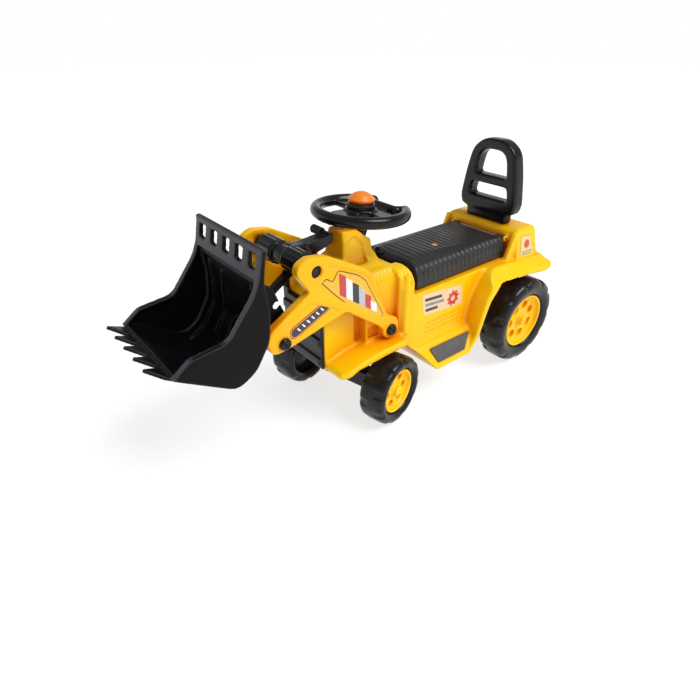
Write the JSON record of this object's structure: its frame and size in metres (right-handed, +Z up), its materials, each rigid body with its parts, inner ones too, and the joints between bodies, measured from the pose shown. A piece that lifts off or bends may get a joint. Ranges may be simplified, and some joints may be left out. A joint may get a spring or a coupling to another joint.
{
  "type": "ride-on toy digger",
  "caption": "Foot-to-floor ride-on digger with a steered front axle, a lidded storage seat, a backrest and a toothed front bucket on lift arms worked by a hand lever.",
  "frame": {"origin": "on the floor, under the middle of the whole object's bounding box", "axes": "+X to the bucket end, +Y to the rider's left, +Z up"},
  "size_m": [0.8, 0.265, 0.4],
  "materials": {
    "body_yellow": "moulded, glossy",
    "arm_yellow": "moulded, glossy",
    "hub_yellow": "moulded, glossy",
    "black_plastic": "moulded, glossy",
    "bucket_black": "moulded, satin",
    "tyre_black": "blow-moulded, glossy",
    "seat_charcoal": "ribbed, satin",
    "horn_orange": "glossy",
    "pad_grey": "grained",
    "steel": "drawn rod"
  },
  "bodies": {
    "frame": {"body_shell": "body_yellow", "front_grille": "black_plastic", "chassis_base": "black_plastic", "storage_bin": "black_plastic", "backrest": "black_plastic", "backrest_screw_left": "steel", "backrest_screw_right": "steel", "step_pad_left": "pad_grey", "step_pad_right": "pad_grey", "arm_pivot_shaft": "steel", "arm_pivot_cap_left": "black_plastic", "arm_pivot_cap_right": "black_plastic", "seat_hinge_rod": "steel", "rear_axle_rod": "steel"},
    "seat": {"seat_lid": "seat_charcoal"},
    "seat_latch": {"seat_knob": "black_plastic"},
    "rear_left_wheel": {"rear_left_tyre": "tyre_black", "rear_left_hub": "hub_yellow", "rear_left_hub_cap": "hub_yellow"},
    "rear_right_wheel": {"rear_right_tyre": "tyre_black", "rear_right_hub": "hub_yellow", "rear_right_hub_cap": "hub_yellow"},
    "front_axle": {"front_axle_carrier": "black_plastic", "front_axle_rod": "steel"},
    "front_left_wheel": {"front_left_tyre": "tyre_black", "front_left_hub": "hub_yellow", "front_left_hub_cap": "hub_yellow"},
    "front_right_wheel": {"front_right_tyre": "tyre_black", "front_right_hub": "hub_yellow", "front_right_hub_cap": "hub_yellow"},
    "steering": {"steering_shaft": "steel", "column_collar": "black_plastic", "steering_wheel": "black_plastic", "horn_base": "black_plastic", "horn_spring": "steel"},
    "horn": {"horn_button": "horn_orange"},
    "arms": {"arm_left": "arm_yellow", "arm_right": "arm_yellow", "knee_shaft": "black_plastic", "bucket_pivot_shaft": "steel", "bucket_pivot_cap_left": "black_plastic", "bucket_pivot_cap_right": "black_plastic"},
    "lever": {"control_lever": "black_plastic", "lever_grip": "seat_charcoal"},
    "link": {"tilt_link": "black_plastic"},
    "bucket": {"bucket": "bucket_black"}
  },
  "joints": [
    {"name": "seat_lid_hinge", "type": "hinge", "parent": "frame", "child": "seat", "pos_m": [-0.2805, 0, 0.2375], "axis": [0, -1, 0], "range_deg": [0, 80]},
    {"name": "seat_latch_turn", "type": "hinge", "parent": "frame", "child": "seat_latch", "pos_m": [-0.023, 0, 0.258], "axis": [0, 0, 1], "range_deg": [0, 90]},
    {"name": "rear_left_spin", "type": "hinge", "parent": "frame", "child": "rear_left_wheel", "pos_m": [-0.2956, 0.1065, 0.0845], "axis": [0, 1, 0], "continuous": true},
    {"name": "rear_right_spin", "type": "hinge", "parent": "frame", "child": "rear_right_wheel", "pos_m": [-0.2956, -0.1065, 0.0845], "axis": [0, 1, 0], "continuous": true},
    {"name": "front_axle_steer", "type": "hinge", "parent": "frame", "child": "front_axle", "pos_m": [0.0529, 0, 0.06], "axis": [0, 0, 1], "range_deg": [-29, 3]},
    {"name": "front_left_spin", "type": "hinge", "parent": "front_axle", "child": "front_left_wheel", "pos_m": [0.03074, 0.09598, 0.06], "axis": [-0.225, 0.9744, 0], "continuous": true},
    {"name": "front_right_spin", "type": "hinge", "parent": "front_axle", "child": "front_right_wheel", "pos_m": [0.07506, -0.09598, 0.06], "axis": [-0.225, 0.9744, 0], "continuous": true},
    {"name": "steering_turn", "type": "hinge", "parent": "frame", "child": "steering", "pos_m": [0.0175, 0, 0.334], "axis": [-0.1617, 0, 0.9868], "range_deg": [-29, 3]},
    {"name": "horn_press", "type": "slide", "parent": "steering", "child": "horn", "axis": [0.0698, 0, -0.9976], "range_m": [0, 0.003], "stiffness_N_per_m": 400, "springref_m": -0.002, "deforming": ["horn_spring"]},
    {"name": "arm_lift", "type": "hinge", "parent": "frame", "child": "arms", "pos_m": [0.017, 0, 0.159], "axis": [0, 1, 0], "range_deg": [0, 34]},
    {"name": "bucket_tilt", "type": "hinge", "parent": "arms", "child": "bucket", "pos_m": [0.216, 0, 0.21], "axis": [0, 1, 0], "range_deg": [0, 30]},
    {"name": "lever_turn", "type": "hinge", "parent": "arms", "child": "lever", "pos_m": [0.158, 0, 0.298], "axis": [0, 1, 0], "range_deg": [-16, 0]},
    {"name": "link_turn", "type": "hinge", "parent": "lever", "child": "link", "pos_m": [0.1309, 0, 0.28514], "axis": [0, 1, 0], "range_deg": [0, 16]}
  ],
  "couplings": [
    {"joint": "steering_turn", "follows": "front_axle_steer", "ratio": 1},
    {"joint": "lever_turn", "follows": "bucket_tilt", "ratio": -0.53333},
    {"joint": "link_turn", "follows": "bucket_tilt", "ratio": 0.53333}
  ]
}
